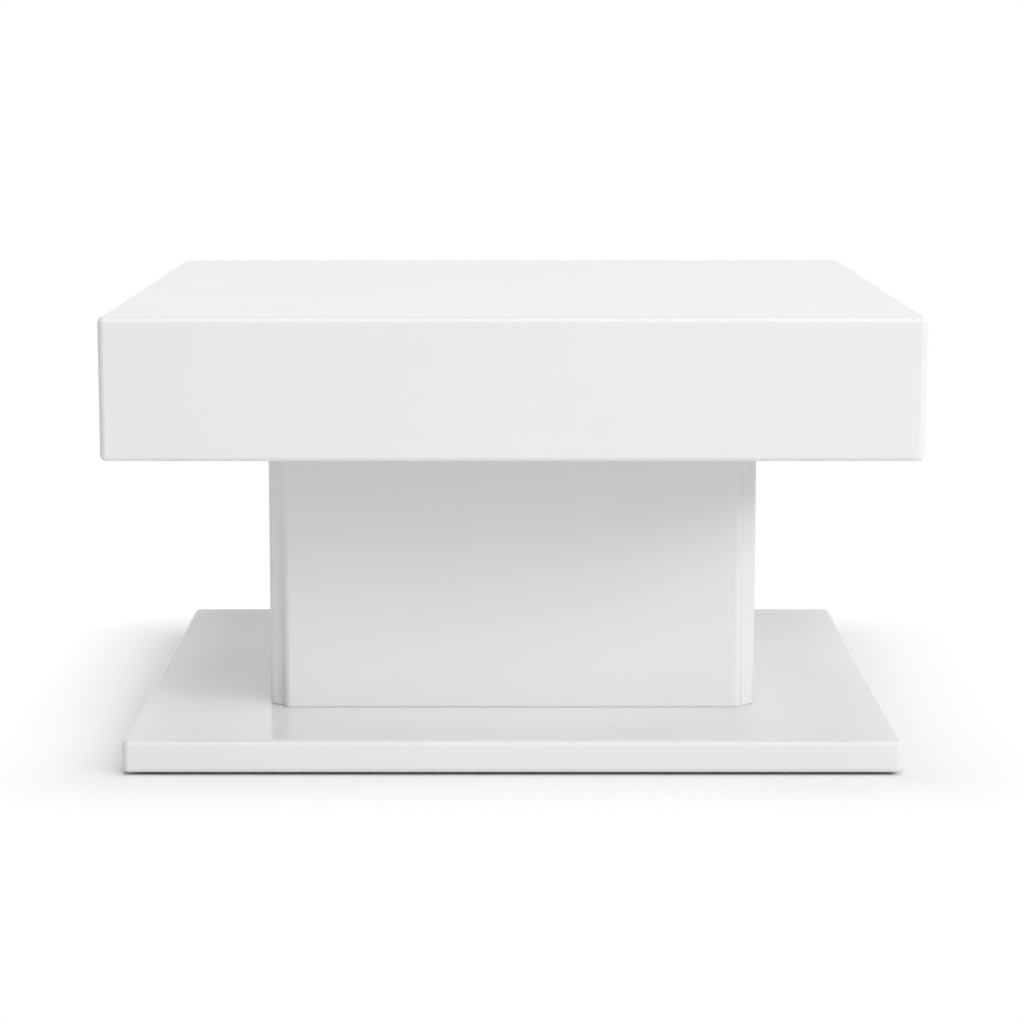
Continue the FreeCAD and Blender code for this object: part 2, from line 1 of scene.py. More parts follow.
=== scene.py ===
"""Coffee table: a white lacquered box top on a column with coved corners that stands on a plinth board.

Metres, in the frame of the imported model: the floor is Z 0, the front faces -Y and +X is to the right.
The sections follow the table as it is put together, from the plinth board up to the top panel.
"""

import math

import bmesh
import bpy
from mathutils import Matrix, Vector


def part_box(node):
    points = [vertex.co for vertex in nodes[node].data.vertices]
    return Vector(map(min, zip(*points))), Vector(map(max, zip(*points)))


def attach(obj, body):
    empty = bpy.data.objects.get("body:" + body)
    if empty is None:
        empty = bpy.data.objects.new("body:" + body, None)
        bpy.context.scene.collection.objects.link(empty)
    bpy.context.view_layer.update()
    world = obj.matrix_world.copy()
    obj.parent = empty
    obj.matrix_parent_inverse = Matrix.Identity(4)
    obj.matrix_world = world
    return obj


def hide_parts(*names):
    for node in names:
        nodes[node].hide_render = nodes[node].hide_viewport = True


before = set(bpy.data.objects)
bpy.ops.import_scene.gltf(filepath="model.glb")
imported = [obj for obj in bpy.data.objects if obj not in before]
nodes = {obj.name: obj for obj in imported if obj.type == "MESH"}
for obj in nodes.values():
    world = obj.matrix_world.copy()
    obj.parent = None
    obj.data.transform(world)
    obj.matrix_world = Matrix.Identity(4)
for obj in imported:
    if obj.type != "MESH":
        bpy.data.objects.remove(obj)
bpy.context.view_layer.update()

# Plinth board
# One thick fibreboard with rounded corners and rolled arrises, sprayed in white gloss lacquer but bare
# below. It lies on four glides and is bored from below for the bolts that draw the column down onto it.
ARC_STEPS = 24
ROLL_STEPS = 12
BORE_STEPS = 48
BLOTCH_LOW = 0.3
BLOTCH_HIGH = 0.7
CRISP_ANGLE = math.radians(30)
FLAT = 0.999
DRILL_OVERRUN = 0.003
PLINTH_CORNER = 0.008
PLINTH_ROLL = 0.006
COUNTERBORE_RADIUS = 0.012
COUNTERBORE_DEPTH = 0.008
BOLT_HOLE_RADIUS = 0.0045
BASE_BOLT_SPACING = 0.300
GLIDE_SEAT_RADIUS = 0.0201
GLIDE_PILOT_RADIUS = 0.00205
GLIDE_PILOT_END = 0.0193
DOWEL_HOLE_RADIUS = 0.00405
DOWEL_HOLE_HALF = 0.0155
WHITE_WARM = (0.872, 0.860, 0.867)
WHITE_COOL = (0.862, 0.851, 0.858)
FIBRE_PALE = (0.50, 0.37, 0.245)
FIBRE_DARK = (0.37, 0.26, 0.165)


def new_finish(name):
    """Starts a finish: the material, its tree, its shader and the coordinates of the piece."""
    finish = bpy.data.materials.new(name)
    finish.use_nodes = True
    tree = finish.node_tree
    place = tree.nodes.new("ShaderNodeTexCoord").outputs["Object"]
    return finish, tree, tree.nodes["Principled BSDF"], place


def drawn_out(tree, place, stretch, turn=(0.0, 0.0, 0.0)):
    """Stretches and turns the coordinates, so that a pattern runs along the grain."""
    mapping = tree.nodes.new("ShaderNodeMapping")
    mapping.inputs["Scale"].default_value = stretch
    mapping.inputs["Rotation"].default_value = turn
    tree.links.new(place, mapping.inputs["Vector"])
    return mapping.outputs["Vector"]


def mottle(tree, place, scale, detail=2.0):
    """Soft noise over the piece: how many blotches to the metre, and how finely broken they are."""
    noise = tree.nodes.new("ShaderNodeTexNoise")
    noise.inputs["Scale"].default_value = scale
    noise.inputs["Detail"].default_value = detail
    tree.links.new(place, noise.inputs["Vector"])
    return noise.outputs["Fac"]


def tone(tree, shader, value, first, second, start=BLOTCH_LOW, end=BLOTCH_HIGH):
    """Colours the shader between two tones."""
    ramp = tree.nodes.new("ShaderNodeValToRGB")
    for stop, position, colour in zip(ramp.color_ramp.elements, (start, end), (first, second)):
        stop.position = position
        stop.color = (*colour, 1.0)
    tree.links.new(value, ramp.inputs["Fac"])
    tree.links.new(ramp.outputs["Color"], shader.inputs["Base Color"])


def polish(tree, shader, value, smooth, rough):
    """Lets the roughness wander between two values."""
    spread = tree.nodes.new("ShaderNodeMapRange")
    spread.inputs["From Min"].default_value = BLOTCH_LOW
    spread.inputs["From Max"].default_value = BLOTCH_HIGH
    spread.inputs["To Min"].default_value = smooth
    spread.inputs["To Max"].default_value = rough
    tree.links.new(value, spread.inputs["Value"])
    tree.links.new(spread.outputs["Result"], shader.inputs["Roughness"])


def relief(tree, shader, value, depth):
    """Raises the surface by a depth in metres where the value is high."""
    bump = tree.nodes.new("ShaderNodeBump")
    bump.inputs["Strength"].default_value = 1.0
    bump.inputs["Distance"].default_value = depth
    tree.links.new(value, bump.inputs["Height"])
    tree.links.new(bump.outputs["Normal"], shader.inputs["Normal"])


def gloss_lacquer():
    """White gloss lacquer: a faint drift of tone, uneven polish and the orange peel of a sprayed coat."""
    finish, tree, shader, place = new_finish("white_gloss_lacquer")
    tone(tree, shader, mottle(tree, place, scale=5.0), WHITE_COOL, WHITE_WARM)
    polish(tree, shader, mottle(tree, place, scale=7.0, detail=1.0), smooth=0.195, rough=0.220)
    relief(tree, shader, mottle(tree, place, scale=240.0, detail=1.0), depth=0.0000015)
    return finish


def raw_fibreboard():
    """Sawn fibreboard: fine pale and dark fibres without grain, dry and matt."""
    finish, tree, shader, place = new_finish("raw_fibreboard")
    tone(tree, shader, mottle(tree, place, scale=900.0, detail=6.0), FIBRE_DARK, FIBRE_PALE)
    polish(tree, shader, mottle(tree, place, scale=60.0), smooth=0.78, rough=0.92)
    relief(tree, shader, mottle(tree, place, scale=1400.0, detail=3.0), depth=0.0002)
    return finish


lacquer = gloss_lacquer()
fibreboard = raw_fibreboard()


def arc(centre, radius, start, sweep, steps=ARC_STEPS):
    """Points of an arc in plan, from a start angle through a sweep, both in degrees."""
    x, y = centre
    angles = [math.radians(start + sweep * step / steps) for step in range(steps + 1)]
    return [(x + radius * math.cos(angle), y + radius * math.sin(angle)) for angle in angles]


def rounded_plan(half_x, half_y, radius):
    """Plan of a board with rounded corners, with the same count of points at any radius."""
    plan = []
    for start, sign_x, sign_y in ((0, 1, 1), (90, -1, 1), (180, -1, -1), (270, 1, -1)):
        plan += arc((sign_x * (half_x - radius), sign_y * (half_y - radius)), radius, start, 90)
    return plan


def rolled_rings(low, high, corner, roll_below, roll_above):
    """Stack of plans up the side of a board whose lower and upper arrises are rolled over."""
    steps = [math.radians(90 * step / ROLL_STEPS) for step in range(ROLL_STEPS + 1)]
    levels = [(0.0, low.z)]
    if roll_below:
        levels = [(roll_below * (1 - math.sin(a)), low.z + roll_below * (1 - math.cos(a))) for a in steps]
    if roll_above:
        levels += [(roll_above * (1 - math.cos(a)), high.z - roll_above * (1 - math.sin(a))) for a in steps]
    else:
        levels.append((0.0, high.z))
    return [
        [(x, y, level) for x, y in rounded_plan(high.x - inset, high.y - inset, corner - inset)]
        for inset, level in levels
    ]


def prism_rings(plan, low, high):
    """The same plan at two levels."""
    return [[(x, y, level) for x, y in plan] for level in (low, high)]


def skin(maker, rings):
    """Closes a mesh through a stack of rings, with a face at both ends."""
    loops = [[maker.verts.new(point) for point in ring] for ring in rings]
    count = len(loops[0])
    for lower, upper in zip(loops, loops[1:]):
        for step in range(count):
            after = (step + 1) % count
            maker.faces.new((lower[step], lower[after], upper[after], upper[step]))
    maker.faces.new(reversed(loops[0]))
    maker.faces.new(loops[-1])


def turn(maker, section, place=Matrix(), steps=BORE_STEPS):
    """Adds a turned shape: a closed half section of radius and level, spun about Z and then placed."""
    rings = []
    for radius, level in section:
        spokes = [math.tau * step / steps for step in range(steps)] if radius else [0.0]
        rings.append([
            maker.verts.new(place @ Vector((radius * math.cos(spoke), radius * math.sin(spoke), level)))
            for spoke in spokes
        ])
    for lower, upper in zip(rings, rings[1:] + rings[:1]):
        for step in range(steps):
            after = (step + 1) % steps
            corners = [lower[step % len(lower)], lower[after % len(lower)]]
            corners += [upper[after % len(upper)], upper[step % len(upper)]]
            corners = list(dict.fromkeys(corners))
            if len(corners) > 2:
                maker.faces.new(corners)


def new_piece(name, maker, *finishes):
    """Makes an object of a finished mesh, faces outwards."""
    bmesh.ops.recalc_face_normals(maker, faces=maker.faces)
    shape = bpy.data.meshes.new(name)
    maker.to_mesh(shape)
    maker.free()
    for finish in finishes:
        shape.materials.append(finish)
    piece = bpy.data.objects.new(name, shape)
    bpy.context.scene.collection.objects.link(piece)
    return piece


def bare_inside(piece, is_hidden):
    """Leaves the faces that are glued, closed in or turned to the floor bare of lacquer."""
    for face in piece.data.polygons:
        if is_hidden(face):
            face.material_index = 1


def set_shape(piece):
    """Turns a piece and its modifiers into a plain mesh."""
    shape = bpy.data.meshes.new_from_object(piece.evaluated_get(bpy.context.evaluated_depsgraph_get()))
    piece.modifiers.clear()
    piece.data = shape


def bored(piece, drills, finish):
    """Cuts a mesh of drills out of a piece; the walls of the bores take the finish below the lacquer."""
    tool = new_piece("drills", drills, finish)
    cut = piece.modifiers.new("bores", "BOOLEAN")
    cut.object = tool
    cut.operation = "DIFFERENCE"
    cut.solver = "EXACT"
    cut.material_mode = "TRANSFER"
    set_shape(piece)
    bpy.data.objects.remove(tool)


def soften(piece):
    """Smooth shading over arcs and bores, with true flats and crisp edges."""
    piece.data.shade_smooth()
    piece.data.set_sharp_from_angle(angle=CRISP_ANGLE)
    flats = piece.modifiers.new("flats", "WEIGHTED_NORMAL")
    flats.keep_sharp = True
    set_shape(piece)


def fit(piece, slot, *stands_for):
    """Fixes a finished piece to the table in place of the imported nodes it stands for."""
    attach(piece, "root")
    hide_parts(*stands_for)


def middle(node):
    """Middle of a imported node's box."""
    low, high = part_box(node)
    return (low + high) / 2


plinth_low, plinth_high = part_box("base_board")
rail_x = middle("foot_rail_right").x
rail_y = middle("foot_rail_back").y
post_x = middle("corner_post_back_right").x
post_y = middle("corner_post_back_right").y
glide_x = middle("glide_back_right").x
glide_y = middle("glide_back_right").y
SIGNS = ((-1, -1), (1, -1), (1, 1), (-1, 1))
bolt_spots = [(sx * BASE_BOLT_SPACING / 2, sy * rail_y) for sx, sy in SIGNS]
bolt_spots += [(-rail_x, 0.0), (rail_x, 0.0)]


def at(x, y, z=0.0):
    """A place in the table's frame."""
    return Matrix.Translation((x, y, z))


def straight(radius, low, high):
    """Half section of a plain drill."""
    return ((0.0, low), (radius, low), (radius, high), (0.0, high))


def stepped(wide, step, narrow, low, high):
    """Half section of a drill that is wide up to a step and narrow above it."""
    return ((0.0, low), (wide, low), (wide, step), (narrow, step), (narrow, high), (0.0, high))


board = bmesh.new()
skin(board, rolled_rings(plinth_low, plinth_high, PLINTH_CORNER, PLINTH_ROLL, PLINTH_ROLL))
plinth = new_piece("plinth_board", board, lacquer, fibreboard)
bare_inside(plinth, lambda face: face.normal.z < -FLAT)
drills = bmesh.new()
below = plinth_low.z - DRILL_OVERRUN
above = plinth_high.z + DRILL_OVERRUN
counterbore_top = plinth_low.z + COUNTERBORE_DEPTH
counterbore = stepped(COUNTERBORE_RADIUS, counterbore_top, BOLT_HOLE_RADIUS, below, above)
for x, y in bolt_spots:
    turn(drills, counterbore, at(x, y))
glide_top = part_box("glide_back_right")[1].z
seat = stepped(GLIDE_SEAT_RADIUS, glide_top, GLIDE_PILOT_RADIUS, below, GLIDE_PILOT_END)
dowel_hole = straight(DOWEL_HOLE_RADIUS, plinth_high.z - DOWEL_HOLE_HALF, above)
for sx, sy in SIGNS:
    turn(drills, seat, at(sx * glide_x, sy * glide_y))
    turn(drills, dowel_hole, at(sx * post_x, sy * post_y))
bored(plinth, drills, fibreboard)
soften(plinth)
fit(plinth, "white_lacquer", "base_board")

# Floor glides
# Four moulded plastic discs let into the underside of the plinth board, so that it clears the floor.
# Each has a rounded lower rim and a sunk hole for its screw.
GLIDE_RADIUS = 0.020
GLIDE_RIM = 0.0012
RIM_STEPS = 6
GLIDE_HOLE_WIDE = 0.0041
GLIDE_HOLE_NARROW = 0.0021
GLIDE_HOLE_SHOULDER = 0.0010
CORNERS = ("back_left", "back_right", "front_left", "front_right")
PLASTIC_DARK = (0.150, 0.150, 0.158)
PLASTIC_PALE = (0.185, 0.185, 0.193)


def moulded_plastic():
    """Dark moulded plastic with the fine spark texture of its mould."""
    finish, tree, shader, place = new_finish("glide_plastic")
    tone(tree, shader, mottle(tree, place, scale=150.0, detail=3.0), PLASTIC_DARK, PLASTIC_PALE)
    polish(tree, shader, mottle(tree, place, scale=220.0), smooth=0.42, rough=0.58)
    relief(tree, shader, mottle(tree, place, scale=2600.0), depth=0.00006)
    return finish


def layout_tree(name, finish, with_sides=False):
    """Tree that sets one fitting at the corners of a rectangle in plan, and on request at two sides."""
    tree = bpy.data.node_groups.new(name, "GeometryNodeTree")
    tree.interface.new_socket("Fitting", in_out="INPUT", socket_type="NodeSocketGeometry")
    for label in ("Width", "Depth", "Side Width", "Level"):
        tree.interface.new_socket(label, in_out="INPUT", socket_type="NodeSocketFloat")
    tree.interface.new_socket("Fittings", in_out="OUTPUT", socket_type="NodeSocketGeometry")
    start = tree.nodes.new("NodeGroupInput")
    spots = tree.nodes.new("GeometryNodeJoinGeometry")
    rows = [("Width", 2)] + ([("Side Width", 1)] if with_sides else [])
    for label, count in rows:
        grid = tree.nodes.new("GeometryNodeMeshGrid")
        grid.inputs["Vertices X"].default_value = 2
        grid.inputs["Vertices Y"].default_value = count
        tree.links.new(start.outputs[label], grid.inputs["Size X"])
        tree.links.new(start.outputs["Depth"], grid.inputs["Size Y"])
        tree.links.new(grid.outputs["Mesh"], spots.inputs["Geometry"])
    lift = tree.nodes.new("ShaderNodeCombineXYZ")
    tree.links.new(start.outputs["Level"], lift.inputs["Z"])
    raised = tree.nodes.new("GeometryNodeSetPosition")
    tree.links.new(spots.outputs["Geometry"], raised.inputs["Geometry"])
    tree.links.new(lift.outputs["Vector"], raised.inputs["Offset"])
    placed = tree.nodes.new("GeometryNodeInstanceOnPoints")
    tree.links.new(raised.outputs["Geometry"], placed.inputs["Points"])
    tree.links.new(start.outputs["Fitting"], placed.inputs["Instance"])
    real = tree.nodes.new("GeometryNodeRealizeInstances")
    tree.links.new(placed.outputs["Instances"], real.inputs["Geometry"])
    painted = tree.nodes.new("GeometryNodeSetMaterial")
    painted.inputs["Material"].default_value = finish
    tree.links.new(real.outputs["Geometry"], painted.inputs["Geometry"])
    end = tree.nodes.new("NodeGroupOutput")
    tree.links.new(painted.outputs["Geometry"], end.inputs["Fittings"])
    return tree


def set_out(piece, tree, sizes):
    """Runs a layout tree on one fitting and keeps the result as a plain mesh."""
    layout = piece.modifiers.new("layout", "NODES")
    layout.node_group = tree
    for socket in tree.interface.items_tree:
        if socket.in_out == "INPUT" and socket.name in sizes:
            layout[socket.identifier] = sizes[socket.name]
    set_shape(piece)


def rim(radius, level, size, start, steps=RIM_STEPS):
    """Quarter round of a turned edge, about a centre inside the rim, from a start angle in degrees."""
    return arc((radius - size, level), size, start, 90, steps)


plastic = moulded_plastic()
glide_low, glide_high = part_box("glide_back_right")
cone = GLIDE_HOLE_SHOULDER + GLIDE_HOLE_WIDE - GLIDE_HOLE_NARROW
disc = bmesh.new()
turn(disc, [
    (GLIDE_HOLE_WIDE, 0.0),
    *rim(GLIDE_RADIUS, GLIDE_RIM, GLIDE_RIM, 270),
    (GLIDE_RADIUS, glide_high.z),
    (GLIDE_HOLE_NARROW, glide_high.z),
    (GLIDE_HOLE_NARROW, cone),
    (GLIDE_HOLE_WIDE, GLIDE_HOLE_SHOULDER),
])
glides = new_piece("floor_glides", disc, plastic)
soften(glides)
glide_places = {"Width": 2 * glide_x, "Depth": 2 * glide_y, "Level": glide_low.z}
set_out(glides, layout_tree("glide_layout", plastic), glide_places)
fit(glides, "glide_plastic", *[f"glide_{corner}" for corner in CORNERS])

# Glide screws
# Countersunk wood screws of bright zinc plate that hold the glides, with a cross recess in the head.
# Their heads lie just above the floor, inside the glides, and their threads bite into the plinth board.
SCREW_HEAD_RADIUS = 0.004
SCREW_HEAD_LIP = 0.0002
SCREW_RADIUS = 0.002
SCREW_ROOT = 0.0015
SCREW_PITCH = 0.0014
SCREW_RECESS_DEPTH = 0.0022
SCREW_RECESS_REACH = 0.0022
SCREW_RECESS_WIDTH = 0.0005
SCREW_RECESS_TAPER = 0.5
SCREW_STEPS = 24
DRIVER_OVERRUN = 0.00075
ZINC_BRIGHT = (0.78, 0.79, 0.80)
ZINC_GREY = (0.60, 0.61, 0.63)


def zinc_plate():
    """Bright zinc plate over turned steel: fine lines and a slightly cloudy passivation."""
    finish, tree, shader, place = new_finish("zinc_plated_steel")
    shader.inputs["Metallic"].default_value = 1.0
    tone(tree, shader, mottle(tree, place, scale=320.0, detail=4.0), ZINC_GREY, ZINC_BRIGHT)
    polish(tree, shader, mottle(tree, place, scale=500.0, detail=3.0), smooth=0.22, rough=0.38)
    lines = mottle(tree, drawn_out(tree, place, stretch=(1.0, 1.0, 8.0)), scale=900.0)
    relief(tree, shader, lines, depth=0.00002)
    return finish


def ridges(root, crest, start, end, pitch):
    """Section of a thread: crests and roots up the shank, from a start level to an end level."""
    count = int((end - start) / pitch)
    points = []
    for number in range(count):
        points.append((root, start + number * pitch))
        points.append((crest, start + (number + 0.5) * pitch))
    points.append((root, start + count * pitch))
    return points


def cross_plan(reach, half_width):
    """Plan of a cross recess, one arm turned through the four quarters."""
    arm = [(reach, -half_width), (reach, half_width), (half_width, half_width)]
    plan = []
    for quarter in range(4):
        spin = Matrix.Rotation(math.radians(90 * quarter), 2)
        plan += [tuple(spin @ Vector(point)) for point in arm]
    return plan


zinc = zinc_plate()
screw_low, screw_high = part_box("glide_screws")
screw_length = screw_high.z - screw_low.z
neck = SCREW_HEAD_LIP + SCREW_HEAD_RADIUS - SCREW_RADIUS
tip = screw_length - 2 * SCREW_RADIUS
blank = bmesh.new()
turn(blank, [
    (0.0, 0.0),
    (SCREW_HEAD_RADIUS, 0.0),
    (SCREW_HEAD_RADIUS, SCREW_HEAD_LIP),
    (SCREW_RADIUS, neck),
    *ridges(SCREW_ROOT, SCREW_RADIUS, neck + SCREW_PITCH, tip, SCREW_PITCH),
    (0.0, screw_length),
], steps=SCREW_STEPS)
screws = new_piece("glide_screws_cross", blank, zinc)
driver = bmesh.new()
wide = cross_plan(SCREW_RECESS_REACH, SCREW_RECESS_WIDTH)
tight = cross_plan(SCREW_RECESS_REACH * SCREW_RECESS_TAPER, SCREW_RECESS_WIDTH * SCREW_RECESS_TAPER)
skin(driver, [
    [(x, y, -DRIVER_OVERRUN) for x, y in wide],
    [(x, y, SCREW_RECESS_DEPTH) for x, y in tight],
])
bored(screws, driver, zinc)
soften(screws)
glide_places["Level"] = screw_low.z
set_out(screws, layout_tree("glide_screw_layout", zinc), glide_places)
fit(screws, "zinc_plated_steel", "glide_screws")

# Column frame
# Four square softwood posts with rails dowelled between them at the head and the foot of the column.
# The dowels are plain turned beech with chamfered ends. All of it is hidden once the panels are planted on.
PINE_LIGHT = (0.62, 0.43, 0.235)
PINE_DARK = (0.47, 0.285, 0.13)
BEECH_PALE = (0.60, 0.385, 0.225)
BEECH_FLECK = (0.46, 0.265, 0.14)
POST_BANDS = 42.0
RAIL_BANDS = 48.0
DOWEL_BANDS = 190.0
UPRIGHT_GRAIN = (0.0, 0.0, 0.0)
WIDE_GRAIN = (0.0, math.radians(90), 0.0)
DEEP_GRAIN = (math.radians(90), 0.0, 0.0)


def planed_wood(name, pale, dark, bands, grain_turn, smooth=0.5, rough=0.66):
    """Planed wood: growth bands along the piece, broken by fine fibres, with a dry sheen."""
    finish, tree, shader, place = new_finish(name)
    along = drawn_out(tree, place, stretch=(1.0, 1.0, 0.06), turn=grain_turn)
    wave = tree.nodes.new("ShaderNodeTexWave")
    wave.wave_type = "RINGS"
    wave.rings_direction = "Z"
    wave.inputs["Scale"].default_value = bands
    wave.inputs["Distortion"].default_value = 5.0
    wave.inputs["Detail"].default_value = 3.0
    wave.inputs["Detail Scale"].default_value = 1.6
    tree.links.new(along, wave.inputs["Vector"])
    tone(tree, shader, wave.outputs["Fac"], pale, dark, start=0.15, end=0.95)
    fibres = mottle(tree, along, scale=1200.0, detail=4.0)
    polish(tree, shader, fibres, smooth, rough)
    relief(tree, shader, fibres, depth=0.00008)
    return finish


def dress(finish, *names):
    """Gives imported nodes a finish."""
    for name in names:
        for slot in nodes[name].material_slots:
            slot.material = finish


upright_pine = planed_wood("softwood_upright", PINE_LIGHT, PINE_DARK, POST_BANDS, UPRIGHT_GRAIN)
wide_pine = planed_wood("softwood_wide", PINE_LIGHT, PINE_DARK, RAIL_BANDS, WIDE_GRAIN)
deep_pine = planed_wood("softwood_deep", PINE_LIGHT, PINE_DARK, RAIL_BANDS, DEEP_GRAIN)
beech = planed_wood("beech", BEECH_PALE, BEECH_FLECK, DOWEL_BANDS, UPRIGHT_GRAIN, smooth=0.4, rough=0.55)
dress(upright_pine, *[f"corner_post_{corner}" for corner in CORNERS])
for end in ("head", "foot"):
    dress(wide_pine, f"{end}_rail_front", f"{end}_rail_back")
    dress(deep_pine, f"{end}_rail_left", f"{end}_rail_right")
dress(beech, "rail_dowels", "head_dowels", "foot_dowels")

# Column panels
# Four fibreboard panels planted on the posts and rails and lacquered in white. Their mitred ends are
# hollowed in a cove about each outer corner, with rounded arrises. Screws hold them from inside.
COVE_RADIUS = 0.016
PANEL_ARRIS = 0.008
PANEL_ARC_STEPS = 16
PANEL_SCREW_SPACING = 0.120
PANEL_SCREW_BITE = 0.0075
PANEL_SCREW_RADIUS = 0.00205
PANEL_SCREW_TIP = 0.004
TURNED_IN = 0.5
SIDES = (("front", 0), ("right", 90), ("back", 180), ("left", 270))
foot_level = middle("foot_rail_back").z
head_level = middle("head_rail_back").z
column_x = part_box("column_panel_right")[1].x
column_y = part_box("column_panel_back")[1].y
COLUMN_HALF = {"front": column_x, "right": column_y, "back": column_x, "left": column_y}


def seen_from_side(node, angle):
    """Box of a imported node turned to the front, and the turn that takes the front back to its side."""
    back = Matrix.Rotation(math.radians(angle), 4, "Z")
    corners = [back.inverted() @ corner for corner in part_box(node)]
    low = Vector([min(pair) for pair in zip(*corners)])
    high = Vector([max(pair) for pair in zip(*corners)])
    return low, high, back


def panel_end(outer_x, low, high):
    """Plan of the right-hand end of a panel: rounded arris, cove about the outer corner, mitre."""
    inset = math.sqrt(COVE_RADIUS ** 2 + 2 * COVE_RADIUS * PANEL_ARRIS)
    lean = math.degrees(math.atan2(PANEL_ARRIS, inset))
    arris = arc((outer_x - inset, low.y + PANEL_ARRIS), PANEL_ARRIS, -90, 90 - lean, PANEL_ARC_STEPS)
    cove = arc((outer_x, low.y), COVE_RADIUS, 180 - lean, lean - 45, PANEL_ARC_STEPS)
    return arris + cove[1:] + [(outer_x - (high.y - low.y), high.y)]


for side, angle in SIDES:
    low, high, back = seen_from_side(f"column_panel_{side}", angle)
    right_end = panel_end(COLUMN_HALF[side], low, high)
    plan = right_end + [(-x, y) for x, y in reversed(right_end)]
    blank = bmesh.new()
    skin(blank, prism_rings(plan, low.z, high.z))
    bmesh.ops.transform(blank, matrix=back, verts=blank.verts)
    panel = new_piece(f"planted_panel_{side}", blank, lacquer, fibreboard)
    inward = back @ Vector((0.0, 1.0, 0.0))
    bare_inside(panel, lambda face: face.normal.z > TURNED_IN or face.normal.dot(inward) > TURNED_IN)
    drills = bmesh.new()
    point = (
        (0.0, -DRILL_OVERRUN),
        (PANEL_SCREW_RADIUS, -DRILL_OVERRUN),
        (PANEL_SCREW_RADIUS, PANEL_SCREW_BITE - PANEL_SCREW_TIP),
        (0.0, PANEL_SCREW_BITE),
    )
    forward = Matrix.Rotation(math.radians(90), 4, "X")
    for level in (foot_level, head_level):
        for step in (-0.5, 0.5):
            spot = at(step * PANEL_SCREW_SPACING, high.y, level)
            turn(drills, point, back @ spot @ forward, steps=SCREW_STEPS)
    bored(panel, drills, fibreboard)
    soften(panel)
    fit(panel, "white_lacquer", f"column_panel_{side}")
dress(zinc, "panel_screws")

# Bolts that hold the column to the plinth
# Six flat-headed connector bolts with washers, sunk in counterbores under the plinth board. They run up
# into brass inserts in the foot rails. Heads, hexagon sockets and washers show from below.
BOLT_HEAD_RADIUS = 0.009
BOLT_HEAD_HEIGHT = 0.003
BOLT_HEAD_RIM = 0.0008
BOLT_RADIUS = 0.004
BOLT_ROOT = 0.0034
BOLT_PITCH = 0.00125
BOLT_THREAD = 0.022
BOLT_KEY_FLATS = 0.005
BOLT_KEY_DEPTH = 0.002
HEXAGON = 6
WASHER_RADIUS = 0.011
WASHER_RIM = 0.0004
BRASS_BRIGHT = (0.80, 0.60, 0.27)
BRASS_DULL = (0.60, 0.42, 0.17)


def turned_brass():
    """Turned brass: fine tool lines and a dulled, slightly brown surface."""
    finish, tree, shader, place = new_finish("turned_brass")
    shader.inputs["Metallic"].default_value = 1.0
    tone(tree, shader, mottle(tree, place, scale=260.0, detail=4.0), BRASS_DULL, BRASS_BRIGHT)
    polish(tree, shader, mottle(tree, place, scale=420.0, detail=3.0), smooth=0.24, rough=0.42)
    lines = mottle(tree, drawn_out(tree, place, stretch=(1.0, 1.0, 10.0)), scale=800.0)
    relief(tree, shader, lines, depth=0.00002)
    return finish


brass = turned_brass()
bolt_low, bolt_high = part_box("base_bolts")
bolt_end = bolt_high.z - bolt_low.z
thread_start = bolt_end - BOLT_THREAD
blank = bmesh.new()
turn(blank, [
    (0.0, 0.0),
    *rim(BOLT_HEAD_RADIUS, BOLT_HEAD_RIM, BOLT_HEAD_RIM, 270),
    (BOLT_HEAD_RADIUS, BOLT_HEAD_HEIGHT),
    (BOLT_RADIUS, BOLT_HEAD_HEIGHT),
    (BOLT_RADIUS, thread_start),
    *ridges(BOLT_ROOT, BOLT_RADIUS, thread_start + BOLT_PITCH / 2, bolt_end, BOLT_PITCH),
    (BOLT_ROOT, bolt_end),
    (0.0, bolt_end),
])
bolts = new_piece("plinth_bolts", blank, zinc)
key = bmesh.new()
turn(key, straight(BOLT_KEY_FLATS / math.sqrt(3), -DRIVER_OVERRUN, BOLT_KEY_DEPTH), steps=HEXAGON)
bored(bolts, key, zinc)
soften(bolts)
bolt_places = {
    "Width": BASE_BOLT_SPACING,
    "Depth": 2 * rail_y,
    "Side Width": 2 * rail_x,
    "Level": bolt_low.z,
}
set_out(bolts, layout_tree("plinth_bolt_layout", zinc, with_sides=True), bolt_places)
fit(bolts, "zinc_plated_steel", "base_bolts")
washer_low, washer_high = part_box("base_washers")
washer_height = washer_high.z - washer_low.z
blank = bmesh.new()
turn(blank, [
    (BOLT_HOLE_RADIUS, 0.0),
    *rim(WASHER_RADIUS, WASHER_RIM, WASHER_RIM, 270),
    *rim(WASHER_RADIUS, washer_height - WASHER_RIM, WASHER_RIM, 0),
    (BOLT_HOLE_RADIUS, washer_height),
])
washers = new_piece("plinth_washers", blank, zinc)
soften(washers)
bolt_places["Level"] = washer_low.z
set_out(washers, layout_tree("plinth_washer_layout", zinc, with_sides=True), bolt_places)
fit(washers, "zinc_plated_steel", "base_washers")
dress(brass, "base_inserts")

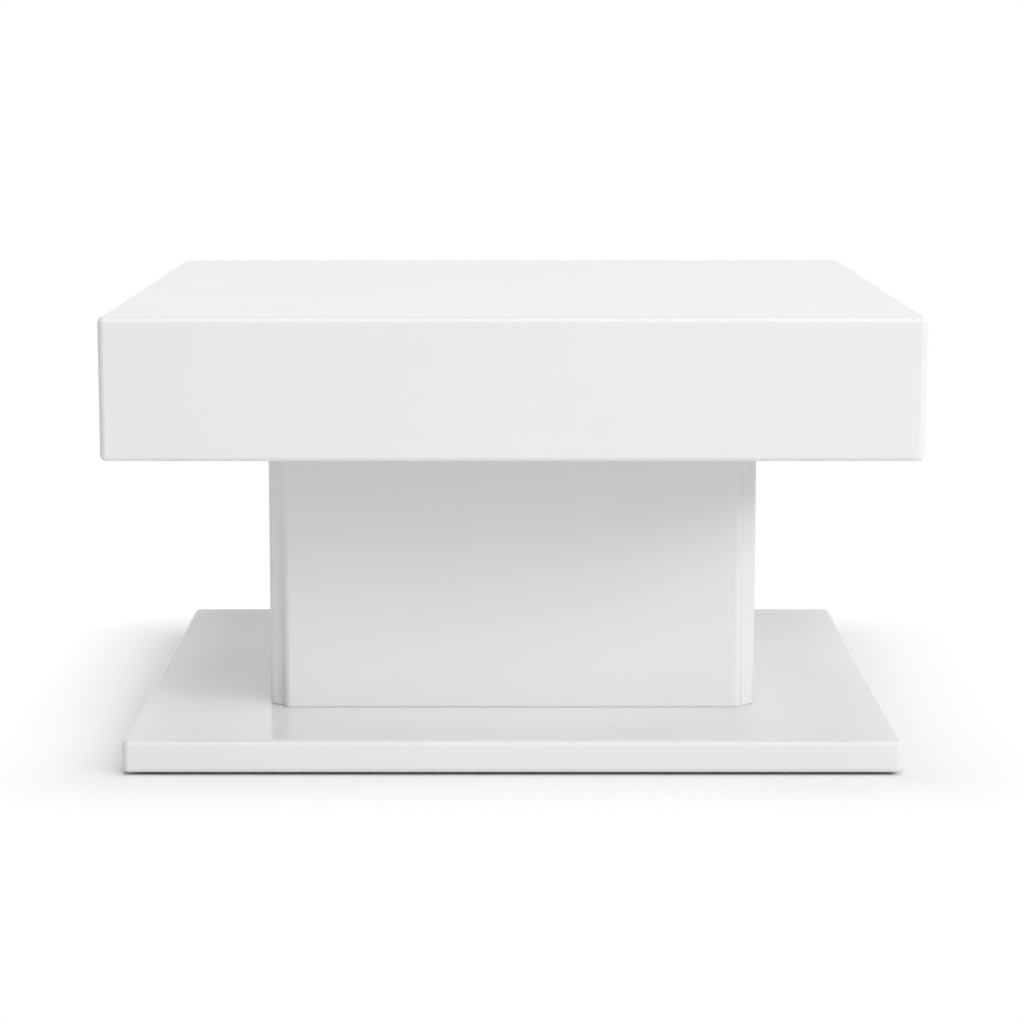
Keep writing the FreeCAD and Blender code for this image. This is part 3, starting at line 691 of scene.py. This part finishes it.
# Underside panel of the box top
# A thin fibreboard that closes the box below. Its lower arris is rolled over with the rest of the box, and
# it is bored for the bolts and dowels of the column head.
BOX_CORNER = 0.007
BOX_ROLL = 0.0055
TOP_BOLT_SPACING = 0.180
HEAD_DOWEL_DEPTH = 0.0095
low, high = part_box("underside_panel")
board = bmesh.new()
skin(board, rolled_rings(low, high, BOX_CORNER, BOX_ROLL, 0.0))
underside = new_piece("box_underside", board, lacquer, fibreboard)
bare_inside(underside, lambda face: face.normal.z > FLAT)
drills = bmesh.new()
bolt_hole = straight(BOLT_HOLE_RADIUS, low.z - DRILL_OVERRUN, high.z + DRILL_OVERRUN)
dowel_hole = straight(DOWEL_HOLE_RADIUS, low.z - DRILL_OVERRUN, low.z + HEAD_DOWEL_DEPTH)
for sx, sy in SIGNS:
    turn(drills, bolt_hole, at(sx * rail_x, sy * TOP_BOLT_SPACING / 2))
    turn(drills, dowel_hole, at(sx * post_x, sy * post_y))
bored(underside, drills, fibreboard)
soften(underside)
fit(underside, "white_lacquer", "underside_panel")

# Bolts that hold the box top to the column
# Two softwood bearers are glued on the underside panel and hold brass inserts. Bolts with washers run up
# through the side head rails into them, and are out of sight inside the column.
dress(deep_pine, "bolt_bearer_left", "bolt_bearer_right")
dress(brass, "top_inserts")
dress(zinc, "top_bolts", "top_washers")

# Core ribs
# Two raw fibreboard ribs each way, halved over one another, keep the box top from sagging.
# Their ends are housed in grooves in the aprons.
dress(fibreboard, *[f"core_rib_{side}" for side, angle in SIDES])

# Aprons and mitre splines
# Four fibreboard aprons form the sides of the box top, mitred at the corners, with plywood splines glued
# across the mitres. Inside they are grooved for the ribs; outside they are lacquered without a seam.
RIB_SLOT = 0.0121
RIB_SLOT_DEPTH = 0.00505
RIB_SPACING = {"front": 0.300, "right": 0.260, "back": 0.300, "left": 0.260}
MITRE_INSET = 0.0117
SPLINE_SLOT = 0.0041
SPLINE_SLOT_WIDTH = 0.0199
TURNED_OUT = 0.704
VENEER_PALE = (0.58, 0.41, 0.235)
VENEER_DARK = (0.42, 0.265, 0.135)


def plywood():
    """Thin plywood: straight plies seen on the edges and a fine rotary-cut figure."""
    finish, tree, shader, place = new_finish("spline_plywood")
    figure = mottle(tree, drawn_out(tree, place, stretch=(1.0, 1.0, 0.05)), scale=500.0, detail=4.0)
    tone(tree, shader, figure, VENEER_DARK, VENEER_PALE)
    polish(tree, shader, figure, smooth=0.55, rough=0.75)
    relief(tree, shader, figure, depth=0.0001)
    return finish


def apron_end(outer, thickness):
    """Plan of the right-hand end of an apron: in along the mitre and round its spline slot."""
    corner = Vector((outer.x, outer.y))
    along = Vector((-1.0, 1.0)).normalized()
    away = Vector((-1.0, -1.0)).normalized()
    slot_start = corner + along * (MITRE_INSET * math.sqrt(2) - SPLINE_SLOT / 2)
    slot_end = slot_start + along * SPLINE_SLOT
    deep = away * SPLINE_SLOT_WIDTH / 2
    inner = corner + Vector((-thickness, thickness))
    return [tuple(point) for point in (slot_start, slot_start + deep, slot_end + deep, slot_end, inner)]


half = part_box("top_panel")[1].x
for side, angle in SIDES:
    low, high, back = seen_from_side(f"apron_{side}", angle)
    thickness = high.y - low.y
    outer = Vector((half, low.y))
    right_arc = arc((half - BOX_CORNER, low.y + BOX_CORNER), BOX_CORNER, 270, 45, ARC_STEPS // 2)
    groove = []
    for step in (0.5, -0.5):
        centre = step * RIB_SPACING[side]
        near, far = centre + RIB_SLOT / 2, centre - RIB_SLOT / 2
        bottom = high.y - RIB_SLOT_DEPTH
        groove += [(near, high.y), (near, bottom), (far, bottom), (far, high.y)]
    right_end = apron_end(outer, thickness)
    left_end = [(-x, y) for x, y in reversed(right_arc + right_end)]
    plan = right_arc + right_end + groove + left_end
    blank = bmesh.new()
    skin(blank, prism_rings(plan, low.z, high.z))
    bmesh.ops.transform(blank, matrix=back, verts=blank.verts)
    apron = new_piece(f"box_apron_{side}", blank, lacquer, fibreboard)
    outward = back @ Vector((0.0, -1.0, 0.0))
    bare_inside(apron, lambda face: face.normal.dot(outward) < TURNED_OUT)
    soften(apron)
    fit(apron, "white_lacquer", f"apron_{side}")
dress(plywood(), "mitre_splines")

# Top panel
# The board that is seen and used closes the box above. Its upper arris is rolled over and it is lacquered
# with the aprons, so that the box top reads as one solid block.
low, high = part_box("top_panel")
board = bmesh.new()
skin(board, rolled_rings(low, high, BOX_CORNER, 0.0, BOX_ROLL))
top = new_piece("box_top_panel", board, lacquer, fibreboard)
bare_inside(top, lambda face: face.normal.z < -FLAT)
soften(top)
fit(top, "white_lacquer", "top_panel")

# Floor and backdrop
# A plain white studio floor that keeps the soft shadow of the table and runs out into a white backdrop.
# Light from the backdrop reaches the table at its own level, whatever the camera sees.
FLOOR_RADIUS = 40.0
FLOOR_STEPS = 96
FLOOR_ALBEDO = 0.92
FLOOR_SHADE = 0.96
SHADE_REACH = 0.15
AMBIENT = 0.04


def grey(level):
    """A grey of one level, as a colour socket takes it."""
    return (level, level, level, 1.0)


def seen_directly(tree):
    """One for rays from the camera or by way of gloss or glass, zero for the light that falls on things."""
    path = tree.nodes.new("ShaderNodeLightPath")
    either = tree.nodes.new("ShaderNodeMath")
    either.operation = "ADD"
    tree.links.new(path.outputs["Is Camera Ray"], either.inputs[0])
    tree.links.new(path.outputs["Is Glossy Ray"], either.inputs[1])
    total = tree.nodes.new("ShaderNodeMath")
    total.operation = "ADD"
    total.use_clamp = True
    tree.links.new(either.outputs["Value"], total.inputs[0])
    tree.links.new(path.outputs["Is Transmission Ray"], total.inputs[1])
    return total.outputs["Value"]


def studio_floor():
    """White floor: shaded within a short reach of the plinth board, plain white further out."""
    finish = bpy.data.materials.new("studio_floor")
    finish.use_nodes = True
    tree = finish.node_tree
    tree.nodes.clear()
    plain = tree.nodes.new("ShaderNodeBsdfDiffuse")
    plain.inputs["Color"].default_value = grey(FLOOR_ALBEDO)
    shaded = tree.nodes.new("ShaderNodeBsdfDiffuse")
    shaded.inputs["Color"].default_value = grey(FLOOR_SHADE)
    white = tree.nodes.new("ShaderNodeEmission")
    place = tree.nodes.new("ShaderNodeTexCoord").outputs["Object"]
    for operation, value in (
        ("ABSOLUTE", None),
        ("SUBTRACT", (plinth_high.x, plinth_high.y, 0.0)),
        ("MAXIMUM", (0.0, 0.0, 0.0)),
    ):
        step = tree.nodes.new("ShaderNodeVectorMath")
        step.operation = operation
        if value:
            step.inputs[1].default_value = value
        tree.links.new(place, step.inputs[0])
        place = step.outputs["Vector"]
    reach = tree.nodes.new("ShaderNodeVectorMath")
    reach.operation = "LENGTH"
    tree.links.new(place, reach.inputs[0])
    share = tree.nodes.new("ShaderNodeMath")
    share.operation = "DIVIDE"
    share.inputs[1].default_value = SHADE_REACH
    tree.links.new(reach.outputs["Value"], share.inputs[0])
    fade = tree.nodes.new("ShaderNodeMath")
    fade.operation = "SQRT"
    fade.use_clamp = True
    tree.links.new(share.outputs["Value"], fade.inputs[0])
    seen = tree.nodes.new("ShaderNodeMixShader")
    tree.links.new(fade.outputs["Value"], seen.inputs["Fac"])
    tree.links.new(shaded.outputs["BSDF"], seen.inputs[1])
    tree.links.new(white.outputs["Emission"], seen.inputs[2])
    both = tree.nodes.new("ShaderNodeMixShader")
    tree.links.new(seen_directly(tree), both.inputs["Fac"])
    tree.links.new(plain.outputs["BSDF"], both.inputs[1])
    tree.links.new(seen.outputs["Shader"], both.inputs[2])
    end = tree.nodes.new("ShaderNodeOutputMaterial")
    tree.links.new(both.outputs["Shader"], end.inputs["Surface"])
    return finish


ground = bmesh.new()
bmesh.ops.create_circle(ground, cap_ends=True, radius=FLOOR_RADIUS, segments=FLOOR_STEPS)
floor = new_piece("studio_floor", ground, studio_floor())

world = bpy.data.worlds.new("studio_backdrop")
bpy.context.scene.world = world
world.use_nodes = True
tree = world.node_tree
tree.nodes.clear()
ambient = tree.nodes.new("ShaderNodeBackground")
ambient.inputs["Color"].default_value = grey(1.0)
ambient.inputs["Strength"].default_value = AMBIENT
backdrop = tree.nodes.new("ShaderNodeBackground")
backdrop.inputs["Color"].default_value = grey(1.0)
either = tree.nodes.new("ShaderNodeMixShader")
tree.links.new(seen_directly(tree), either.inputs["Fac"])
tree.links.new(ambient.outputs["Background"], either.inputs[1])
tree.links.new(backdrop.outputs["Background"], either.inputs[2])
end = tree.nodes.new("ShaderNodeOutputWorld")
tree.links.new(either.outputs["Shader"], end.inputs["Surface"])

# Studio lamps
# Soft boxes far out in a ring round the table, all aimed at its middle: a small key and a broad fill from
# the right, two in front, one overhead, a weak one on the left and two low ones behind the table. Only the
# high one in front shows in the gloss.
LAMP_DISTANCE = 9.0
LAMP_AIM = Vector((0.0, 0.0, 0.25))
GLINT_BOX = "high_box"
LAMPS = {
    "key_box": {"round": 60, "rise": 25, "side": 2.8, "watts": 222.0},
    "fill_box": {"round": 30, "rise": 31, "side": 5.4, "watts": 234.0},
    "front_box": {"round": 0, "rise": 22, "side": 5.4, "watts": 102.0},
    "high_box": {"round": 0, "rise": 52, "side": 3.6, "watts": 96.0},
    "top_box": {"round": 0, "rise": 90, "side": 5.4, "watts": 292.0},
    "left_box": {"round": -90, "rise": 20, "side": 5.4, "watts": 56.0},
    "back_right_box": {"round": 150, "rise": 12, "side": 3.6, "watts": 150.0},
    "back_left_box": {"round": -150, "rise": 12, "side": 3.6, "watts": 150.0},
}
for name, lamp in LAMPS.items():
    data = bpy.data.lights.new(name, "AREA")
    data.shape = "SQUARE"
    data.size = lamp["side"]
    data.energy = lamp["watts"]
    turned = math.radians(lamp["round"])
    raised = math.radians(lamp["rise"])
    level = math.cos(raised)
    away = Vector((math.sin(turned) * level, -math.cos(turned) * level, math.sin(raised)))
    box = bpy.data.objects.new(name, data)
    box.location = LAMP_AIM + away * LAMP_DISTANCE
    box.rotation_euler = (-away).to_track_quat("-Z", "Y").to_euler()
    box.visible_camera = False
    box.visible_glossy = name == GLINT_BOX
    bpy.context.scene.collection.objects.link(box)

# Camera
# A long lens a little above the top and square to the front, tipped down towards the middle of the table.
# It sees the table from about three metres, so that the uprights stay nearly parallel.
CAMERA_PLACE = (-0.0004, -3.2868, 0.7160)
CAMERA_TIP = 8.727
CAMERA_LENS = 105.79
SENSOR_WIDTH = 36.0
CAMERA_REACH = 200.0
camera = bpy.data.objects.new("camera", bpy.data.cameras.new("camera"))
camera.data.sensor_width = SENSOR_WIDTH
camera.data.lens = CAMERA_LENS
camera.data.clip_end = CAMERA_REACH
camera.location = CAMERA_PLACE
camera.rotation_euler = (math.radians(90 - CAMERA_TIP), 0.0, 0.0)
bpy.context.scene.collection.objects.link(camera)
bpy.context.scene.camera = camera
bpy.context.scene.view_settings.view_transform = "Standard"
